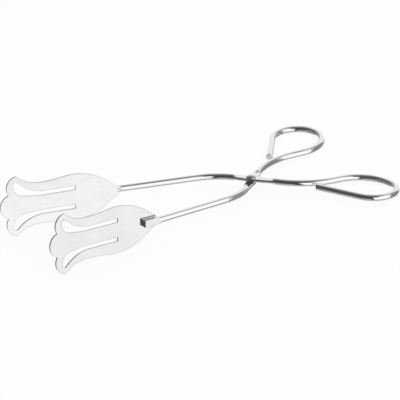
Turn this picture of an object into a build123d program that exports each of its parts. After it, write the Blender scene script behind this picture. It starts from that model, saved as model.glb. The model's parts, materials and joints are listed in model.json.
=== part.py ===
"""Scissor pastry tongs: two bent rods, two tulip blades and one rivet, in millimetres.

Each arm is modelled once in its own frame: the pivot centre is the origin, X runs towards the
handles, the blade lies on the +Y side, and Z rises from the face that meets the other arm.
The second arm is the same arm turned over about X. The finished tongs stand on a table, on the
lower lobe of each blade and the far end of each finger loop.
"""
from build123d import *
from math import asin, cos, degrees, radians, sin, tan
import os

# Rod
rod_diameter = 4.0
rod_end_chamfer = 0.3

# Pressed flat at the pivot, which is longer on the handle side
flat_thickness = 2.0
flat_width = 6.2
flat_end_width = 4.6
flat_edge_radius = 0.7
flat_blade_side = 8.5
flat_handle_side = 12.5
flat_shoulder = 2.5

# Arm from the pivot to the blade
crossing_angle = 45.4
arm_bend_radius = 34.5
arm_splay = 9.2
arm_straight = 51.6

# Pressed tab that laps on the outer face of the blade
tab_lap = 9.6
tab_shoulder = 2.4
tab_thickness = 3.0
tab_height = 4.4
tab_edge_radius = 0.5

# Finger loop, from the pivot to the rod's free end
handle_bend_radius = 44.8
handle_bend = 45.7
handle_straight = 7.3
loop_entry_radius = 22.6
loop_entry_turn = 79.3
loop_end_radius = 14.5
loop_end_turn = 80.5
loop_return_radius = 15.4
loop_return_turn = 77.1
loop_return_straight = 28.8

# Blade blank
sheet_thickness = 1.0
blade_length = 75.0
blade_width = 38.0
blade_toe_in = 3.0
base_width = 4.8
shoulder_width = 29.3
waist_width = 26.0
shoulder_share = 0.347
shoulder_rise_shares = (0.167, 0.574)
shoulder_angle = 36.0
waist_share = 0.667
lobe_tip_share = 0.86
lobe_front_shares = (0.947, 0.632)
notch_shares = (0.931, 0.39)
lobe_tip_radius = 0.6
notch_radius = 0.4

# Slots in the blade
slot_width = 2.7
slot_spacing = 11.9
slot_start_share = 0.364
slot_flare_share = 0.627
slot_bend_share = 0.689
slot_tip_shares = (0.888, 0.979)
slot_front_shares = (0.889, 0.356)
slot_corner_radius = 0.5
slot_tip_cut_share = 0.504
slot_front_cut_share = 0.5
slot_bend_radius_share = 0.533

# Rivet and its fits
shank_diameter = 3.0
shank_clearance = 0.05
pivot_play = 0.06
head_diameter = 5.8
head_height = 1.7
head_rim = 0.3
closed_head_diameter = 5.2
closed_head_flat = 3.4
closed_head_height = 1.1
closed_head_rim = 0.4

# Sizes that follow from the ones above
rod_radius = rod_diameter / 2
blade_half_width = blade_width / 2
press_before = flat_blade_side + flat_shoulder
press_after = flat_handle_side + flat_shoulder
rod_level = pivot_play / 2 + flat_thickness / 2
stack_top = pivot_play / 2 + flat_thickness
upright = Vector(0, 0, 1)


def heading(angle):
    """Unit direction in the plane of the arm, from an angle in degrees."""
    return Vector(cos(radians(angle)), sin(radians(angle)), 0)


def turned(direction, axis_direction, angle):
    """A direction turned about another one, in degrees."""
    return direction.rotate(Axis((0, 0, 0), axis_direction), angle)


def across(origin, direction):
    """Section plane square to a direction, its x level and its y upright."""
    return Plane(origin=origin, x_dir=direction.cross(upright), z_dir=direction)


def fillet_radius(arriving, leaving, cut):
    """Radius of the fillet that takes a length off both straight sides of a corner."""
    return cut / tan(radians(arriving.get_angle(leaving)) / 2)


def round_section(plane):
    """The rod's round section in eight arcs, so that it lofts evenly into a pressed one."""
    def rim(angle):
        return (rod_radius * cos(radians(angle)), rod_radius * sin(radians(angle)))

    step = 360 / 8
    with BuildSketch(plane) as section:
        with BuildLine():
            for number in range(8):
                middle = step * number
                ThreePointArc(rim(middle - step / 2), rim(middle), rim(middle + step / 2))
        make_face()
    return section.sketch


def pressed_section(plane, width, height, edge_radius):
    """A section of the rod where it is pressed flat."""
    with BuildSketch(plane) as section:
        RectangleRounded(width, height, edge_radius)
    return section.sketch


# Centre line of the round rod between the pivot flat and the blade, and the blade's heading
flat_direction = heading(-crossing_angle)
rod_plane = Plane.XY.offset(rod_level)
pivot_on_rod = rod_plane.origin

with BuildLine(rod_plane) as arm_path:
    arm_bend = JernArc(
        pivot_on_rod - press_before * flat_direction,
        -flat_direction,
        arm_bend_radius,
        crossing_angle - arm_splay,
    )
    Line(arm_bend @ 1, arm_bend @ 1 + (arm_straight - tab_shoulder) * (arm_bend % 1))

arm_direction = heading(180 - arm_splay)
blade_direction = heading(180 - arm_splay + blade_toe_in)
blade_inward = turned(blade_direction, upright, 90)
blade_base = arm_path.line @ 1 + tab_shoulder * arm_direction

# Centre line of the handle in its own plane, from the pivot flat to the rod's free end
with BuildLine() as handle_shape:
    stem = JernArc((0, 0), (1, 0), handle_bend_radius, handle_bend)
    stem_end = Line(stem @ 1, stem @ 1 + handle_straight * (stem % 1))
    entry = JernArc(stem_end @ 1, stem_end % 1, loop_entry_radius, -loop_entry_turn)
    far_end = JernArc(entry @ 1, entry % 1, loop_end_radius, -loop_end_turn)
    back = JernArc(far_end @ 1, far_end % 1, loop_return_radius, -loop_return_turn)
    Line(back @ 1, back @ 1 + loop_return_straight * (back % 1))

# One arm's rod lies a rod level above the pivot's middle and the other's a rod level below, so
# the table under both blades crosses the arms at a small slope. Each handle leans until the far
# end of its loop, which faces straight away from the blades, meets that slope.
handle_start = pivot_on_rod + press_after * flat_direction
level_plane = Plane(origin=handle_start, x_dir=flat_direction, z_dir=upright)
loop_end_point = level_plane.from_local_coords(far_end.arc_center) + Vector(loop_end_radius, 0, 0)
lobe_point = blade_base + blade_length * lobe_tip_share * blade_direction
lobe_middle = lobe_point + (tab_thickness + sheet_thickness) / 2 * blade_inward
cross_slope = rod_level / lobe_middle.Y
loop_reach = (loop_end_point - handle_start).dot(flat_direction)
handle_lean = degrees(asin((rod_level - cross_slope * loop_end_point.Y) / loop_reach))
lean_direction = turned(flat_direction, upright, 90)
handle_direction = turned(flat_direction, lean_direction, handle_lean)
handle_plane = Plane(
    origin=handle_start,
    x_dir=handle_direction,
    z_dir=handle_direction.cross(lean_direction),
)
handle_line = handle_plane.location * handle_shape.line

# One bent rod, with its pivot hole
with BuildPart() as rod:
    sweep(sections=round_section(across(arm_path.line @ 0, arm_path.line % 0)), path=arm_path.line)
    sweep(sections=round_section(across(handle_line @ 0, handle_line % 0)), path=handle_line)
    free_end = rod.faces().sort_by_distance(handle_line @ 1)[0]
    chamfer(free_end.edges(), rod_end_chamfer)

    flat_start = across(pivot_on_rod - flat_blade_side * flat_direction, flat_direction)
    flat_middle = across(pivot_on_rod, flat_direction)
    flat_end = across(pivot_on_rod + flat_handle_side * flat_direction, flat_direction)
    narrow_start = pressed_section(flat_start, flat_end_width, flat_thickness, flat_edge_radius)
    wide_middle = pressed_section(flat_middle, flat_width, flat_thickness, flat_edge_radius)
    narrow_end = pressed_section(flat_end, flat_end_width, flat_thickness, flat_edge_radius)
    loft(sections=[narrow_start, wide_middle, narrow_end], ruled=True)
    shoulder_to_arm = across(arm_path.line @ 0, flat_direction)
    loft(sections=[round_section(shoulder_to_arm), narrow_start], ruled=True)
    shoulder_to_handle = across(handle_line @ 0, handle_direction)
    loft(sections=[narrow_end, round_section(shoulder_to_handle)], ruled=True)

    tab_start = across(blade_base, blade_direction)
    tab_outline = pressed_section(tab_start, tab_thickness, tab_height, tab_edge_radius)
    loft(sections=[round_section(across(arm_path.line @ 1, arm_direction)), tab_outline], ruled=True)
    extrude(tab_outline, amount=tab_lap)

    with BuildSketch(Plane.XY):
        Circle(shank_diameter / 2 + shank_clearance)
    extrude(amount=stack_top, mode=Mode.SUBTRACT)

# One blade blank with its slots, drawn from its welded end to its middle lobe
blade_origin = blade_base + tab_thickness / 2 * blade_inward
blade_plane = Plane(origin=blade_origin, x_dir=blade_direction, z_dir=blade_inward)


def on_blade(along_share, across_share):
    """A point of the blade, in shares of its length and of half its width."""
    return (blade_length * along_share, blade_half_width * across_share)


lobe_tip = (blade_length * lobe_tip_share, blade_half_width)
with BuildPart() as blade:
    with BuildSketch(blade_plane) as blank:
        with BuildLine():
            base_corner = (0, base_width / 2)
            shoulder = (blade_length * shoulder_share, shoulder_width / 2)
            waist = (blade_length * waist_share, waist_width / 2)
            notch = on_blade(*notch_shares)
            Line((0, 0), base_corner)
            Spline(
                base_corner,
                on_blade(*shoulder_rise_shares),
                shoulder,
                waist,
                tangents=(heading(shoulder_angle), (1, 0)),
            )
            TangentArc(waist, lobe_tip, tangent=(1, 0))
            ThreePointArc(lobe_tip, on_blade(*lobe_front_shares), notch)
            ThreePointArc(notch, (blade_length, 0), (notch[0], -notch[1]))
            mirror(about=Plane.XZ)
        make_face()
        fillet(blank.vertices().group_by(Axis.X)[-1], notch_radius)
        fillet(blank.vertices().group_by(Axis.Y)[0], lobe_tip_radius)
        fillet(blank.vertices().group_by(Axis.Y)[-1], lobe_tip_radius)
        with BuildSketch(mode=Mode.PRIVATE) as slot:
            with BuildLine():
                outer_edge = (slot_spacing + slot_width) / 2
                inner_edge = (slot_spacing - slot_width) / 2
                slot_start = blade_length * slot_start_share
                slot_flare = (blade_length * slot_flare_share, outer_edge)
                slot_bend = (blade_length * slot_bend_share, inner_edge)
                slot_tip = on_blade(*slot_tip_shares)
                slot_front = on_blade(*slot_front_shares)
                flare = TangentArc(slot_flare, slot_tip, tangent=(1, 0))
                front = Line(slot_tip, slot_front)
                inner = Line(slot_front, slot_bend)
                Polyline(
                    slot_bend,
                    (slot_start, inner_edge),
                    (slot_start, outer_edge),
                    slot_flare,
                )
            make_face()
            tip_cut = front.length * slot_tip_cut_share
            front_cut = front.length * slot_front_cut_share
            for corner, radius in (
                (slot_tip, fillet_radius(flare % 1, front % 0, tip_cut)),
                (slot_front, fillet_radius(front % 1, inner % 0, front_cut)),
                (slot_bend, blade_length * slot_bend_radius_share),
                ((slot_start, inner_edge), slot_corner_radius),
                ((slot_start, outer_edge), slot_corner_radius),
            ):
                fillet(slot.vertices().sort_by_distance(corner)[0], radius)
        add(slot.sketch, mode=Mode.SUBTRACT)
        mirror(slot.sketch, about=Plane.XZ, mode=Mode.SUBTRACT)
    extrude(amount=sheet_thickness)

# The rivet, domed above the upper rod and closed against the lower one
head_seat = stack_top + pivot_play
with BuildPart() as rivet:
    with BuildSketch(Plane.XZ):
        with BuildLine():
            crown = (0, head_seat + head_height)
            dome_edge = (head_diameter / 2, head_seat + head_rim)
            TangentArc(crown, dome_edge, tangent=(1, 0))
            Polyline(
                dome_edge,
                (head_diameter / 2, head_seat),
                (shank_diameter / 2, head_seat),
                (shank_diameter / 2, -stack_top),
                (closed_head_diameter / 2, -stack_top),
                (closed_head_diameter / 2, -stack_top - closed_head_rim),
                (closed_head_flat / 2, -stack_top - closed_head_height),
                (0, -stack_top - closed_head_height),
                crown,
            )
        make_face()
    revolve(axis=Axis.Z)

# The table, seen from the pivot: it touches the lower lobe of each blade and both loops
stance_length = loop_end_point.X - lobe_middle.X
long_slope = (blade_half_width - rod_radius) / stance_length
table = Plane(origin=(0, 0, 0), x_dir=(1, 0, long_slope), z_dir=(-long_slope, -cross_slope, 1))
standing = table.location.inverse()
turned_over = Plane(origin=(0, 0, 0), x_dir=(1, 0, 0), z_dir=(0, 0, -1)).location

# The frame's origin is on the table, under the middle of the whole
measured = Compound(
    children=[
        standing * side * piece.part
        for piece in (rod, blade)
        for side in (Location(), turned_over)
    ]
).bounding_box()
pivot_point = -Vector(measured.center().X, measured.center().Y, measured.min.Z)
upper_place = Location(pivot_point) * standing
lower_place = upper_place * turned_over

with BuildPart() as upper_rod:
    with Locations(upper_place):
        add(rod.part)

with BuildPart() as lower_rod:
    with Locations(lower_place):
        add(rod.part)

with BuildPart() as right_blade:
    with Locations(upper_place):
        add(blade.part)

with BuildPart() as left_blade:
    with Locations(lower_place):
        add(blade.part)

with BuildPart() as pivot_rivet:
    with Locations(upper_place):
        add(rivet.part)

upper_rod.part.label = "upper_rod"
lower_rod.part.label = "lower_rod"
right_blade.part.label = "right_blade"
left_blade.part.label = "left_blade"
pivot_rivet.part.label = "pivot_rivet"

os.makedirs("parts", exist_ok=True)
export_step(upper_rod.part, "parts/upper_rod.step")
export_step(lower_rod.part, "parts/lower_rod.step")
export_step(right_blade.part, "parts/right_blade.step")
export_step(left_blade.part, "parts/left_blade.step")
export_step(pivot_rivet.part, "parts/pivot_rivet.step")
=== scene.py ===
import json
from math import cos, pi, radians, sin

import bmesh
import bpy
from bpy.props import FloatProperty, FloatVectorProperty, PointerProperty, StringProperty
from bpy.types import Operator, Panel, PropertyGroup
from mathutils import Matrix, Vector

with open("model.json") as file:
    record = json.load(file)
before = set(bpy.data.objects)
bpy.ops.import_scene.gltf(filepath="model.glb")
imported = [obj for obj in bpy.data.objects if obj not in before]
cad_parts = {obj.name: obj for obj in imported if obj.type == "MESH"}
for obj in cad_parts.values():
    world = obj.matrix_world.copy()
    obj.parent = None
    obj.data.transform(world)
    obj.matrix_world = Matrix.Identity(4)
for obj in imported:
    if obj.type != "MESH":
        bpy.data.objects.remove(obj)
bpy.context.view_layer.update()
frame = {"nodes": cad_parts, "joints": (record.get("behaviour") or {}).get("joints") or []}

bl_info = {
    "name": "Scissor pastry tongs",
    "version": (1, 0, 0),
    "blender": (4, 5, 0),
    "location": "3D View > Sidebar > Tongs",
    "description": "Finishes of a pair of polished steel pastry tongs, and a pale studio for them",
    "category": "Object",
}

MILLIMETRE = 0.001
ROD_RADIUS = 2.0 * MILLIMETRE
HINGE = frame["joints"][0]
PIVOT_POINT = Vector(HINGE["pos_m"])
PIVOT_AXIS = Vector(HINGE["axis"])
# Middle of each rod's free end and the way that end faces.
ROD_ENDS = {
    "upper_rod": (Vector((0.0678, -0.028524, 0.006461)), Vector((-0.5454, 0.8366, 0.0521))),
    "lower_rod": (Vector((0.067789, 0.028674, 0.004418)), Vector((-0.5512, -0.8337, 0.0347))),
}
BLADES = ("right_blade", "left_blade")
# Most of a noise texture's values lie between these.
NOISE_LOW = 0.3
NOISE_HIGH = 0.7
# A Mix node's colour sockets share their names with its number sockets, so they go by place.
MIX_COLOUR_A = 6
MIX_COLOUR_B = 7
MIX_COLOUR_RESULT = 2


def linear(hex_colour):
    """An sRGB hex colour as linear red, green, blue and alpha."""
    channels = [int(hex_colour[place:place + 2], 16) / 255 for place in (1, 3, 5)]
    return [c / 12.92 if c <= 0.04045 else ((c + 0.055) / 1.055) ** 2.4 for c in channels] + [1.0]


def add_node(tree, kind, inputs=(), **settings):
    """Adds one node with its settings; a socket among the inputs is linked and a value is set."""
    node = tree.nodes.new(kind)
    for name, value in settings.items():
        setattr(node, name, value)
    for key, value in dict(inputs).items():
        if isinstance(value, bpy.types.NodeSocket):
            tree.links.new(value, node.inputs[key])
        else:
            node.inputs[key].default_value = value
    return node


def new_material(name):
    """An empty node material and its tree."""
    material = bpy.data.materials.new(name)
    material.use_nodes = True
    material.node_tree.nodes.clear()
    return material, material.node_tree


def give_material(node_name, material):
    """Gives a CAD node one material all over."""
    if node_name not in frame["nodes"]:
        raise RuntimeError(f"the frame has no node named {node_name}")
    mesh = frame["nodes"][node_name].data
    mesh.materials.clear()
    mesh.materials.append(material)


def widest_face_direction(node_name):
    """Unit direction that most of a sheet's surface faces, from its faces' areas."""
    mesh = frame["nodes"][node_name].data
    first = max(mesh.polygons, key=lambda face: face.area).normal.copy()
    least_cosine = 0.9
    total = Vector()
    for face in mesh.polygons:
        cosine = face.normal.dot(first)
        if abs(cosine) > least_cosine:
            side = 1 if cosine > 0 else -1
            total += side * face.area * face.normal
    return total.normalized()


class TongsWire(PropertyGroup):
    """Finish of the two bent rods."""

    colour: StringProperty(
        name="Steel colour",
        description="sRGB hex colour of the polished wire",
        default="#F2F2F3",
    )
    roughness: FloatProperty(
        name="Roughness",
        description="Blur of the reflections in the polished wire",
        default=0.07, min=0.0, max=1.0, subtype="FACTOR",
    )
    line_spacing: FloatProperty(
        name="Drawing line spacing",
        description="Distance between the faint lines that the drawing die leaves along the wire",
        default=0.35 * MILLIMETRE, unit="LENGTH",
    )
    line_depth: FloatProperty(
        name="Drawing line depth",
        description="Height of the faint lines along the wire",
        default=0.002 * MILLIMETRE, unit="LENGTH", precision=6,
    )
    end_roughness: FloatProperty(
        name="End roughness",
        description="Blur of the reflections in the sheared end of each rod",
        default=0.6, min=0.0, max=1.0, subtype="FACTOR",
    )
    end_shine: FloatProperty(
        name="End shine",
        description="Share of the sheared end that mirrors; the torn rest is matt",
        default=0.3, min=0.0, max=1.0, subtype="FACTOR",
    )


class TongsSheet(PropertyGroup):
    """Finish of the two blades."""

    colour: StringProperty(
        name="Steel colour",
        description="sRGB hex colour of the buffed sheet",
        default="#F8F8F8",
    )
    haze_colour: StringProperty(
        name="Haze colour",
        description="sRGB hex colour of the sheet where buffing left a haze",
        default="#F1F1F1",
    )
    roughness: FloatProperty(
        name="Roughness",
        description="Blur of the reflections in the buffed faces",
        default=0.1, min=0.0, max=1.0, subtype="FACTOR",
    )
    edge_colour: StringProperty(
        name="Edge colour",
        description="sRGB hex colour of the cut edges, which stay greyer than the buffed faces",
        default="#C4C4C6",
    )
    edge_roughness: FloatProperty(
        name="Edge roughness",
        description="Blur of the reflections in the cut edges, which a wheel only skims",
        default=0.16, min=0.0, max=1.0, subtype="FACTOR",
    )
    edge_round: FloatProperty(
        name="Edge rounding",
        description="Radius of the tumbled corners of the sheet",
        default=0.5 * MILLIMETRE, unit="LENGTH", precision=6,
    )


class TongsRivet(PropertyGroup):
    """Finish of the rivet."""

    colour: StringProperty(
        name="Steel colour",
        description="sRGB hex colour of the rivet",
        default="#DCDCDD",
    )
    roughness: FloatProperty(
        name="Roughness",
        description="Blur of the reflections in the rivet's domes",
        default=0.13, min=0.0, max=1.0, subtype="FACTOR",
    )


class TongsStudio(PropertyGroup):
    """Floor, light and camera."""

    floor_colour: StringProperty(
        name="Floor colour",
        description="sRGB hex colour of the matt floor",
        default="#F4F4F3",
    )
    floor_size: FloatProperty(
        name="Floor size",
        description="Width of the round floor",
        default=3.2, unit="LENGTH",
    )
    lamp_level: FloatProperty(
        name="Lamp level",
        description="Share of a plain white that the lamps give on the floor",
        default=0.45, min=0.0, max=1.0, subtype="FACTOR",
    )
    camera_azimuth: FloatProperty(
        name="Camera azimuth",
        description="Turn of the camera round the tongs, from the -Y side",
        default=radians(-27.403), subtype="ANGLE",
    )
    camera_elevation: FloatProperty(
        name="Camera elevation",
        description="Height of the camera above the horizon",
        default=radians(25.6), subtype="ANGLE",
    )
    camera_roll: FloatProperty(
        name="Camera roll",
        description="Turn of the camera about its own line of sight",
        default=radians(-3.828), subtype="ANGLE",
    )
    camera_distance: FloatProperty(
        name="Camera distance",
        description="Distance from the camera to the point it looks at",
        default=2.887, unit="LENGTH",
    )
    camera_target: FloatVectorProperty(
        name="Camera target",
        description="Point that the camera looks at",
        default=(0.009137, 0.010869, -0.000992), size=3, subtype="TRANSLATION", unit="LENGTH",
    )
    lens: FloatProperty(
        name="Lens",
        description="Focal length on a 36 mm wide sensor",
        default=432.18, unit="CAMERA",
    )


class TONGS_OT_wire(Operator):
    """Finish the two bent rods as drawn and polished wire"""

    bl_idname = "tongs.wire"
    bl_label = "Polished wire"

    def execute(self, context):
        finish = context.scene.tongs_wire
        wave_length = 9 * MILLIMETRE
        wave_height = 0.02 * MILLIMETRE
        haze_patch = 4 * MILLIMETRE
        end_reach = 1.2 * ROD_RADIUS
        end_cosine = 0.9
        for name, (end_point, end_direction) in ROD_ENDS.items():
            # 18/8 stainless wire, drawn and tumble polished: near-mirror steel with faint lines
            # along its length, a slow waviness from straightening, and a duller sheared end.
            material, tree = new_material(f"drawn_polished_stainless_wire_{name}")
            place = add_node(tree, "ShaderNodeTexCoord")
            facing = add_node(tree, "ShaderNodeSeparateXYZ", {0: place.outputs["Normal"]})
            # The height part of the normal stays the same along a wire bent on a table, so lines
            # drawn by it run lengthwise. They are coarser than real ones, which wouldn't show.
            around = add_node(tree, "ShaderNodeMath", {0: facing.outputs["Z"]}, operation="ARCSINE")
            lines = add_node(tree, "ShaderNodeTexNoise", {
                "W": around.outputs[0], "Scale": ROD_RADIUS / finish.line_spacing, "Detail": 3.0,
            }, noise_dimensions="1D")
            # The waves are as long as the pitch of the straightening rolls.
            waves = add_node(tree, "ShaderNodeTexNoise", {
                "Vector": place.outputs["Object"], "Scale": 1 / wave_length, "Detail": 1.0,
            })
            # Tumble polishing leaves a haze in patches.
            haze = add_node(tree, "ShaderNodeTexNoise", {
                "Vector": place.outputs["Object"], "Scale": 1 / haze_patch, "Detail": 4.0,
            })
            polish = add_node(tree, "ShaderNodeMapRange", {
                "Value": haze.outputs["Fac"], "From Min": NOISE_LOW, "From Max": NOISE_HIGH,
                "To Min": finish.roughness * 0.7, "To Max": finish.roughness * 1.4,
            })
            # The sheared end is what lies near the rod's end point and faces along the rod.
            reach = add_node(tree, "ShaderNodeVectorMath", {
                0: place.outputs["Object"], 1: end_point,
            }, operation="DISTANCE")
            near_end = add_node(tree, "ShaderNodeMath", {
                0: reach.outputs["Value"], 1: end_reach,
            }, operation="LESS_THAN")
            facing_end = add_node(tree, "ShaderNodeVectorMath", {
                0: place.outputs["Normal"], 1: end_direction,
            }, operation="DOT_PRODUCT")
            flat_end = add_node(tree, "ShaderNodeMath", {
                0: facing_end.outputs["Value"], 1: end_cosine,
            }, operation="GREATER_THAN")
            sheared = add_node(tree, "ShaderNodeMath", {
                0: near_end.outputs[0], 1: flat_end.outputs[0],
            }, operation="MULTIPLY")
            roughness = add_node(tree, "ShaderNodeMix", {
                "Factor": sheared.outputs[0], "A": polish.outputs[0], "B": finish.end_roughness,
            })
            shine = add_node(tree, "ShaderNodeMix", {
                "Factor": sheared.outputs[0], "A": 1.0, "B": finish.end_shine,
            })
            wavy = add_node(tree, "ShaderNodeBump", {
                "Height": waves.outputs["Fac"], "Strength": 1.0, "Distance": wave_height,
            })
            lined = add_node(tree, "ShaderNodeBump", {
                "Height": lines.outputs["Fac"], "Strength": 1.0, "Distance": finish.line_depth,
                "Normal": wavy.outputs[0],
            })
            steel = add_node(tree, "ShaderNodeBsdfPrincipled", {
                "Base Color": linear(finish.colour), "Metallic": shine.outputs[0],
                "Roughness": roughness.outputs[0], "Normal": lined.outputs[0],
            })
            add_node(tree, "ShaderNodeOutputMaterial", {"Surface": steel.outputs[0]})
            give_material(name, material)
        return {"FINISHED"}


class TONGS_OT_blades(Operator):
    """Finish the two blades as buffed sheet with greyer cut edges"""

    bl_idname = "tongs.blades"
    bl_label = "Buffed blades"

    def execute(self, context):
        finish = context.scene.tongs_sheet
        # The scratches are coarser than real ones, which wouldn't show.
        scratch_length = 12 * MILLIMETRE
        scratch_spacing = 0.4 * MILLIMETRE
        scratch_depth = 0.0006 * MILLIMETRE
        dish_width = 15 * MILLIMETRE
        dish_height = 0.03 * MILLIMETRE
        # Cosines of a corner's turn from the face, where the cut edge ends and the face begins.
        edge_cosine = 0.75
        face_cosine = 0.98
        for name in BLADES:
            outward = widest_face_direction(name)
            lengthwise = outward.cross(PIVOT_AXIS).normalized()
            # 18/8 stainless sheet, buffed after blanking: a slightly hazy mirror with hair-fine
            # scratches along the blade, and rounded cut edges that draw a grey line round it.
            material, tree = new_material(f"buffed_stainless_sheet_{name}")
            place = add_node(tree, "ShaderNodeTexCoord")
            along = add_node(tree, "ShaderNodeVectorMath", {
                0: place.outputs["Object"], 1: lengthwise,
            }, operation="DOT_PRODUCT")
            up = add_node(tree, "ShaderNodeVectorMath", {
                0: place.outputs["Object"], 1: PIVOT_AXIS,
            }, operation="DOT_PRODUCT")
            on_sheet = add_node(tree, "ShaderNodeCombineXYZ", {
                0: along.outputs["Value"], 1: up.outputs["Value"],
            })
            stretched = add_node(tree, "ShaderNodeVectorMath", {
                0: on_sheet.outputs[0], 1: (1 / scratch_length, 1 / scratch_spacing, 1.0),
            }, operation="MULTIPLY")
            scratches = add_node(tree, "ShaderNodeTexNoise", {
                "Vector": stretched.outputs[0], "Scale": 1.0, "Detail": 2.0,
            })
            # The buffing wheel leaves the sheet slightly uneven.
            dish = add_node(tree, "ShaderNodeTexNoise", {
                "Vector": place.outputs["Object"], "Scale": 1 / dish_width, "Detail": 0.5,
            })
            # Tumbling rounds the sheared corners a little.
            rounded = add_node(tree, "ShaderNodeBevel", {"Radius": finish.edge_round}, samples=6)
            turned = add_node(
                tree, "ShaderNodeVectorTransform", {0: rounded.outputs[0]},
                vector_type="NORMAL", convert_from="WORLD", convert_to="OBJECT",
            )
            facing = add_node(tree, "ShaderNodeVectorMath", {
                0: turned.outputs[0], 1: outward,
            }, operation="DOT_PRODUCT")
            flatness = add_node(tree, "ShaderNodeMath", {
                0: facing.outputs["Value"],
            }, operation="ABSOLUTE")
            # The cut edge and the corners that turn towards it stay greyer and duller.
            edge = add_node(tree, "ShaderNodeMapRange", {
                "Value": flatness.outputs[0], "From Min": edge_cosine, "From Max": face_cosine,
                "To Min": 1.0, "To Max": 0.0,
            })
            face_polish = add_node(tree, "ShaderNodeMapRange", {
                "Value": scratches.outputs["Fac"], "From Min": NOISE_LOW, "From Max": NOISE_HIGH,
                "To Min": finish.roughness * 0.8, "To Max": finish.roughness * 1.3,
            })
            polish = add_node(tree, "ShaderNodeMix", {
                "Factor": edge.outputs[0], "A": face_polish.outputs[0], "B": finish.edge_roughness,
            })
            # The haze lies in cloudy patches, streaked by the scratches.
            cloud = add_node(tree, "ShaderNodeMath", {
                0: dish.outputs["Fac"], 1: scratches.outputs["Fac"],
            }, operation="MULTIPLY")
            haze = add_node(tree, "ShaderNodeMapRange", {
                "Value": cloud.outputs[0], "From Min": 0.14, "From Max": 0.36,
            })
            face_colour = add_node(tree, "ShaderNodeMix", {
                "Factor": haze.outputs[0],
                MIX_COLOUR_A: linear(finish.colour),
                MIX_COLOUR_B: linear(finish.haze_colour),
            }, data_type="RGBA")
            steel_colour = add_node(tree, "ShaderNodeMix", {
                "Factor": edge.outputs[0],
                MIX_COLOUR_A: face_colour.outputs[MIX_COLOUR_RESULT],
                MIX_COLOUR_B: linear(finish.edge_colour),
            }, data_type="RGBA")
            uneven = add_node(tree, "ShaderNodeBump", {
                "Height": dish.outputs["Fac"], "Strength": 1.0, "Distance": dish_height,
                "Normal": rounded.outputs[0],
            })
            scratched = add_node(tree, "ShaderNodeBump", {
                "Height": scratches.outputs["Fac"], "Strength": 1.0, "Distance": scratch_depth,
                "Normal": uneven.outputs[0],
            })
            steel = add_node(tree, "ShaderNodeBsdfPrincipled", {
                "Base Color": steel_colour.outputs[MIX_COLOUR_RESULT], "Metallic": 1.0,
                "Roughness": polish.outputs[0], "Normal": scratched.outputs[0],
            })
            add_node(tree, "ShaderNodeOutputMaterial", {"Surface": steel.outputs[0]})
            give_material(name, material)
        return {"FINISHED"}


class TONGS_OT_rivet(Operator):
    """Finish the rivet as polished steel with faint rings from its forming die"""

    bl_idname = "tongs.rivet"
    bl_label = "Polished rivet"

    def execute(self, context):
        finish = context.scene.tongs_rivet
        ring_spacing = 0.5 * MILLIMETRE
        ring_height = 0.006 * MILLIMETRE
        # Headed stainless rivet, tumble polished: bright domes with soft rings round the axis,
        # which break up what they mirror.
        material, tree = new_material("polished_stainless_rivet")
        place = add_node(tree, "ShaderNodeTexCoord")
        offset = add_node(tree, "ShaderNodeVectorMath", {
            0: place.outputs["Object"], 1: PIVOT_POINT,
        }, operation="SUBTRACT")
        radial = add_node(tree, "ShaderNodeVectorMath", {
            0: offset.outputs[0], 1: PIVOT_AXIS,
        }, operation="CROSS_PRODUCT")
        reach = add_node(tree, "ShaderNodeVectorMath", {0: radial.outputs[0]}, operation="LENGTH")
        rings = add_node(tree, "ShaderNodeTexNoise", {
            "W": reach.outputs["Value"], "Scale": 1 / ring_spacing, "Detail": 1.0,
        }, noise_dimensions="1D")
        ringed = add_node(tree, "ShaderNodeBump", {
            "Height": rings.outputs["Fac"], "Strength": 1.0, "Distance": ring_height,
        })
        polish = add_node(tree, "ShaderNodeMapRange", {
            "Value": rings.outputs["Fac"], "From Min": NOISE_LOW, "From Max": NOISE_HIGH,
            "To Min": finish.roughness * 0.7, "To Max": finish.roughness * 1.4,
        })
        steel = add_node(tree, "ShaderNodeBsdfPrincipled", {
            "Base Color": linear(finish.colour), "Metallic": 1.0,
            "Roughness": polish.outputs[0], "Normal": ringed.outputs[0],
        })
        add_node(tree, "ShaderNodeOutputMaterial", {"Surface": steel.outputs[0]})
        give_material("pivot_rivet", material)
        return {"FINISHED"}


# What the polished steel mirrors of the studio, over a dark room: azimuth from +X, half width
# and softness, elevation, half height and softness, all in degrees, then brightness, which adds
# up where areas overlap. A half width above 180 reaches all the way round.
STUDIO_DARK = 0.055
STUDIO_AREAS = {
    "white table in front": (-75, 34, 5, -15, 30, 4, 0.87),
    "far edge of that table": (-80, 29, 4, 21, 6, 4, 0.87),
    "corner of that table": (-41, 2.5, 2, 19, 8, 4, 0.87),
    "table towards the camera": (-88, 22, 12, -20, 16, 8, 0.06),
    "soft box": (-72, 38, 4, 1, 14, 4, 0.35),
    "soft box beside it": (-80, 30, 4, 23, 8, 4, 0.35),
    "soft box above it": (-50, 30, 8, 40, 13, 7, 0.85),
    "white backdrop": (52, 34, 10, 17, 31, 12, 0.85),
    "table behind": (72, 29, 4, -29, 18, 8, 1.0),
    "edge of the backdrop": (103, 12, 6, 28, 36, 12, 0.33),
    "grey wall on the right": (-12, 30, 10, 22, 24, 12, 0.22),
    "foot of that wall": (-2, 38, 12, -26, 22, 10, 0.22),
    "ceiling on the right": (40, 70, 20, 69, 26, 12, 0.3),
    "ceiling on the left": (-130, 70, 25, 78, 20, 10, 0.11),
    "table on the left": (-154, 31, 4, -34, 22, 8, 0.24),
    "room behind": (150, 32, 12, 5, 60, 14, 0.07),
    "foot of that room": (134, 34, 6, -26, 20, 8, 0.17),
    "table underneath": (0, 181, 1, -72, 24, 8, 0.46),
}


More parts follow.
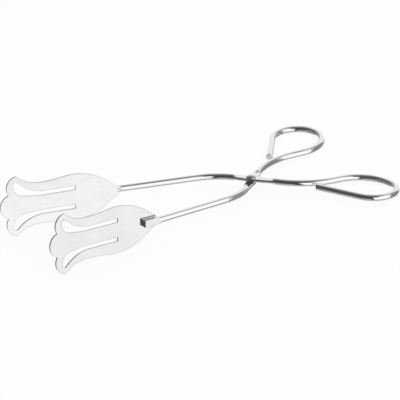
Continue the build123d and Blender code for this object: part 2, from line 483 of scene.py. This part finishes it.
def studio_light(tree):
    """Brightness of the studio by direction, for reflections only."""
    place = add_node(tree, "ShaderNodeTexCoord")
    direction = add_node(tree, "ShaderNodeSeparateXYZ", {0: place.outputs["Generated"]})
    height = add_node(tree, "ShaderNodeMath", {0: direction.outputs["Z"]}, operation="ARCSINE")
    total = add_node(tree, "ShaderNodeValue")
    total.outputs[0].default_value = STUDIO_DARK
    for area in STUDIO_AREAS.values():
        azimuth, half_width, side_softness, elevation, half_height, end_softness, brightness = area
        turned = add_node(tree, "ShaderNodeVectorRotate", {
            "Vector": place.outputs["Generated"], "Angle": radians(-azimuth),
        }, rotation_type="Z_AXIS")
        parts = add_node(tree, "ShaderNodeSeparateXYZ", {0: turned.outputs[0]})
        sideways = add_node(tree, "ShaderNodeMath", {
            0: parts.outputs["Y"], 1: parts.outputs["X"],
        }, operation="ARCTAN2")
        raised = add_node(tree, "ShaderNodeMath", {
            0: height.outputs[0], 1: radians(elevation),
        }, operation="SUBTRACT")
        masks = []
        for measured, half, softness in (
            (sideways, half_width, side_softness),
            (raised, half_height, end_softness),
        ):
            away = add_node(tree, "ShaderNodeMath", {0: measured.outputs[0]}, operation="ABSOLUTE")
            masks.append(add_node(tree, "ShaderNodeMapRange", {
                "Value": away.outputs[0],
                "From Min": radians(half - softness), "From Max": radians(half + softness),
                "To Min": 1.0, "To Max": 0.0,
            }, interpolation_type="SMOOTHSTEP"))
        inside = add_node(tree, "ShaderNodeMath", {
            0: masks[0].outputs[0], 1: masks[1].outputs[0],
        }, operation="MULTIPLY")
        total = add_node(tree, "ShaderNodeMath", {
            0: inside.outputs[0], 1: brightness, 2: total.outputs[0],
        }, operation="MULTIPLY_ADD")
    return total.outputs[0]


class TONGS_OT_studio(Operator):
    """Build the floor, the light and the camera"""

    bl_idname = "tongs.studio"
    bl_label = "Studio"

    def execute(self, context):
        studio = context.scene.tongs_studio
        scene = context.scene
        # To the camera the board glows almost white, and a tenth of its shading shows the shadow.
        seen_shading = 0.1
        seen_glow = 0.905
        lamp_distance = 1.4
        lamp_size = 1.1
        nearest, farthest = 0.05, 20.0

        # Matt white board, white to the eye with the object's shadow on it. The steel looks past
        # it, because the studio's own brightness by direction includes the floor's.
        mesh = bpy.data.meshes.new("floor")
        shape = bmesh.new()
        bmesh.ops.create_circle(shape, cap_ends=True, segments=96, radius=studio.floor_size / 2)
        shape.to_mesh(mesh)
        shape.free()
        floor = bpy.data.objects.new("floor", mesh)
        scene.collection.objects.link(floor)
        floor.visible_glossy = False
        material, tree = new_material("matt_white_board")
        path = add_node(tree, "ShaderNodeLightPath")
        looks = []
        for shading, glow in ((1.0, 0.0), (seen_shading, seen_glow)):
            colour = [channel * shading for channel in linear(studio.floor_colour)[:3]] + [1.0]
            board = add_node(tree, "ShaderNodeBsdfDiffuse", {"Color": colour})
            light = add_node(tree, "ShaderNodeEmission", {"Strength": glow})
            looks.append(add_node(tree, "ShaderNodeAddShader", {
                0: board.outputs[0], 1: light.outputs[0],
            }))
        seen = add_node(tree, "ShaderNodeMath", {
            0: path.outputs["Is Camera Ray"], 1: path.outputs["Is Transmission Ray"],
        }, operation="MAXIMUM")
        surface = add_node(tree, "ShaderNodeMixShader", {
            0: seen.outputs[0], 1: looks[0].outputs[0], 2: looks[1].outputs[0],
        })
        add_node(tree, "ShaderNodeOutputMaterial", {"Surface": surface.outputs[0]})
        mesh.materials.append(material)

        # The world is white to the camera, and a studio with bright and dark areas to the steel.
        world = bpy.data.worlds.new("pale_studio")
        world.use_nodes = True
        scene.world = world
        tree = world.node_tree
        tree.nodes.clear()
        path = add_node(tree, "ShaderNodeLightPath")
        white = add_node(tree, "ShaderNodeBackground", {
            "Color": linear("#FFFFFF"), "Strength": 1.0,
        })
        plain = add_node(tree, "ShaderNodeBackground", {
            "Color": linear("#FFFFFF"), "Strength": 1 - studio.lamp_level,
        })
        areas = add_node(tree, "ShaderNodeBackground", {
            "Color": studio_light(tree), "Strength": 1.0,
        })
        indirect = add_node(tree, "ShaderNodeMixShader", {
            0: path.outputs["Is Glossy Ray"], 1: plain.outputs[0], 2: areas.outputs[0],
        })
        surface = add_node(tree, "ShaderNodeMixShader", {
            0: path.outputs["Is Camera Ray"], 1: indirect.outputs[0], 2: white.outputs[0],
        })
        add_node(tree, "ShaderNodeOutputWorld", {"Surface": surface.outputs[0]})

        # Two large soft boxes light the floor and cast the shadow. Pi squared watts from one
        # metre above light white paper to a plain white, and each box gives its share of that.
        for name, azimuth, elevation, share in (
            ("soft_box_front", radians(-80), radians(48), 0.6),
            ("soft_box_back", radians(60), radians(60), 0.4),
        ):
            lamp = bpy.data.lights.new(name, "AREA")
            lamp.shape = "SQUARE"
            lamp.size = lamp_size
            level = studio.lamp_level * share / sin(elevation)
            lamp.energy = (pi * lamp_distance) ** 2 * level
            lamp_object = bpy.data.objects.new(name, lamp)
            scene.collection.objects.link(lamp_object)
            towards = Vector((
                cos(azimuth) * cos(elevation),
                sin(azimuth) * cos(elevation),
                sin(elevation),
            ))
            lamp_object.location = lamp_distance * towards
            lamp_object.rotation_euler = towards.to_track_quat("Z", "Y").to_euler()
            lamp_object.visible_glossy = False

        camera = bpy.data.cameras.new("camera")
        camera.sensor_width = 36
        camera.lens = studio.lens
        camera.clip_start = nearest
        camera.clip_end = farthest
        camera_object = bpy.data.objects.new("camera", camera)
        scene.collection.objects.link(camera_object)
        azimuth, elevation = studio.camera_azimuth, studio.camera_elevation
        back = Vector((
            sin(azimuth) * cos(elevation),
            -cos(azimuth) * cos(elevation),
            sin(elevation),
        ))
        camera_object.matrix_world = (
            Matrix.Translation(Vector(studio.camera_target) + studio.camera_distance * back)
            @ Matrix.Rotation(azimuth, 4, "Z")
            @ Matrix.Rotation(pi / 2 - elevation, 4, "X")
            @ Matrix.Rotation(studio.camera_roll, 4, "Z")
        )
        scene.camera = camera_object
        scene.view_settings.view_transform = "Standard"
        return {"FINISHED"}


class TONGS_PT_panel(Panel):
    """Lists the steps that finish the tongs"""

    bl_label = "Pastry tongs"
    bl_idname = "TONGS_PT_panel"
    bl_space_type = "VIEW_3D"
    bl_region_type = "UI"
    bl_category = "Tongs"

    def draw(self, context):
        for group, step in zip(GROUPS, STEPS):
            box = self.layout.box()
            settings = getattr(context.scene, group)
            for name in settings.__annotations__:
                box.prop(settings, name)
            box.operator(step.bl_idname)


# Each step goes with the group of settings in the same place.
GROUPS = {
    "tongs_wire": TongsWire,
    "tongs_sheet": TongsSheet,
    "tongs_rivet": TongsRivet,
    "tongs_studio": TongsStudio,
}
STEPS = (TONGS_OT_wire, TONGS_OT_blades, TONGS_OT_rivet, TONGS_OT_studio)


def register():
    for group in GROUPS.values():
        bpy.utils.register_class(group)
    for name, group in GROUPS.items():
        setattr(bpy.types.Scene, name, PointerProperty(type=group))
    for step in STEPS:
        bpy.utils.register_class(step)
    bpy.utils.register_class(TONGS_PT_panel)


def unregister():
    bpy.utils.unregister_class(TONGS_PT_panel)
    for step in reversed(STEPS):
        bpy.utils.unregister_class(step)
    for name in GROUPS:
        delattr(bpy.types.Scene, name)
    for group in reversed(GROUPS.values()):
        bpy.utils.unregister_class(group)


def main():
    register()
    bpy.ops.tongs.wire()
    bpy.ops.tongs.blades()
    bpy.ops.tongs.rivet()
    bpy.ops.tongs.studio()


if __name__ == "__main__":
    main()
